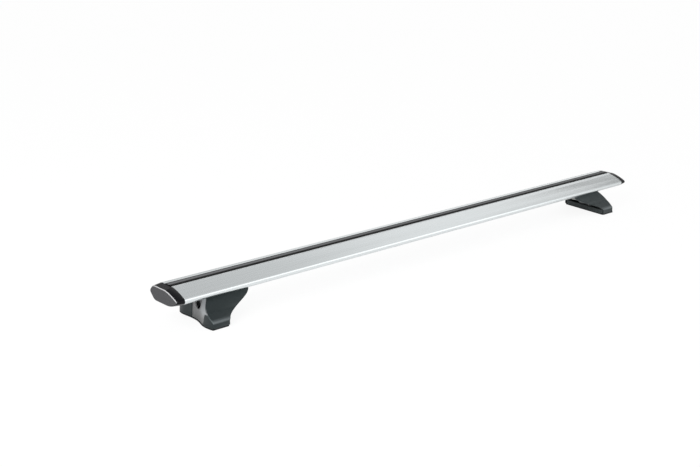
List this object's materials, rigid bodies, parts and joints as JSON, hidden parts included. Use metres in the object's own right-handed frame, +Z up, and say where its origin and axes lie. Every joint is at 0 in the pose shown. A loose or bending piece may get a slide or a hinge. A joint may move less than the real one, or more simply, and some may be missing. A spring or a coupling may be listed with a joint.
{
  "type": "roof rack crossbar",
  "caption": "Wing-section aluminium roof crossbar with a strip-filled top channel, end caps and a locking foot at each end that slides along the bar to suit the roof.",
  "frame": {"origin": "middle of the bounding box at the bottom, in the plane of the two roof pads", "axes": "+X along the bar, +Z up, +Y towards the blunt rear edge of the wing section"},
  "size_m": [1.18, 0.1128, 0.0735],
  "materials": {
    "bar_aluminium": "satin anodised extrusion",
    "strip_rubber": "matt extruded rubber",
    "cap_plastic": "semi-gloss moulded plastic with a textured end face",
    "pad_rubber": "soft moulded rubber",
    "base_plastic": "glass-filled moulded plastic",
    "support_casting": "black powder coat on an aluminium casting",
    "panel_grey": "grey satin moulded plastic",
    "cover_plastic": "finely textured moulded plastic",
    "lock_plastic": "black moulded plastic",
    "lock_metal": "dull nickel-plated barrel",
    "zinc_steel": "zinc-plated steel"
  },
  "bodies": {
    "bar": {"bar_extrusion": "bar_aluminium", "top_strip": "strip_rubber", "left_end_cap": "cap_plastic", "right_end_cap": "cap_plastic"},
    "left_foot": {"left_roof_pad": "pad_rubber", "left_base": "base_plastic", "left_base_screws": "zinc_steel", "left_support": "support_casting", "left_side_panel": "panel_grey", "left_front_cover": "cover_plastic", "left_rear_cover": "cover_plastic", "left_lock_case": "lock_plastic", "left_clamp_bolt": "zinc_steel", "left_clamp_washer": "zinc_steel", "left_channel_nut": "zinc_steel"},
    "right_foot": {"right_roof_pad": "pad_rubber", "right_base": "base_plastic", "right_base_screws": "zinc_steel", "right_support": "support_casting", "right_side_panel": "panel_grey", "right_front_cover": "cover_plastic", "right_rear_cover": "cover_plastic", "right_lock_case": "lock_plastic", "right_clamp_bolt": "zinc_steel", "right_clamp_washer": "zinc_steel", "right_channel_nut": "zinc_steel"},
    "left_lock": {"left_lock_barrel": "lock_metal"},
    "right_lock": {"right_lock_barrel": "lock_metal"}
  },
  "joints": [
    {"name": "left_foot_slide", "type": "slide", "parent": "bar", "child": "left_foot", "axis": [1, 0, 0], "range_m": [-0.03, 0.12]},
    {"name": "right_foot_slide", "type": "slide", "parent": "bar", "child": "right_foot", "axis": [-1, 0, 0], "range_m": [-0.03, 0.12]},
    {"name": "left_lock_turn", "type": "hinge", "parent": "left_foot", "child": "left_lock", "pos_m": [-0.51, -0.002, 0.031], "axis": [-1, 0, 0], "range_deg": [0, 90]},
    {"name": "right_lock_turn", "type": "hinge", "parent": "right_foot", "child": "right_lock", "pos_m": [0.51, -0.002, 0.031], "axis": [-1, 0, 0], "range_deg": [0, 90]}
  ]
}
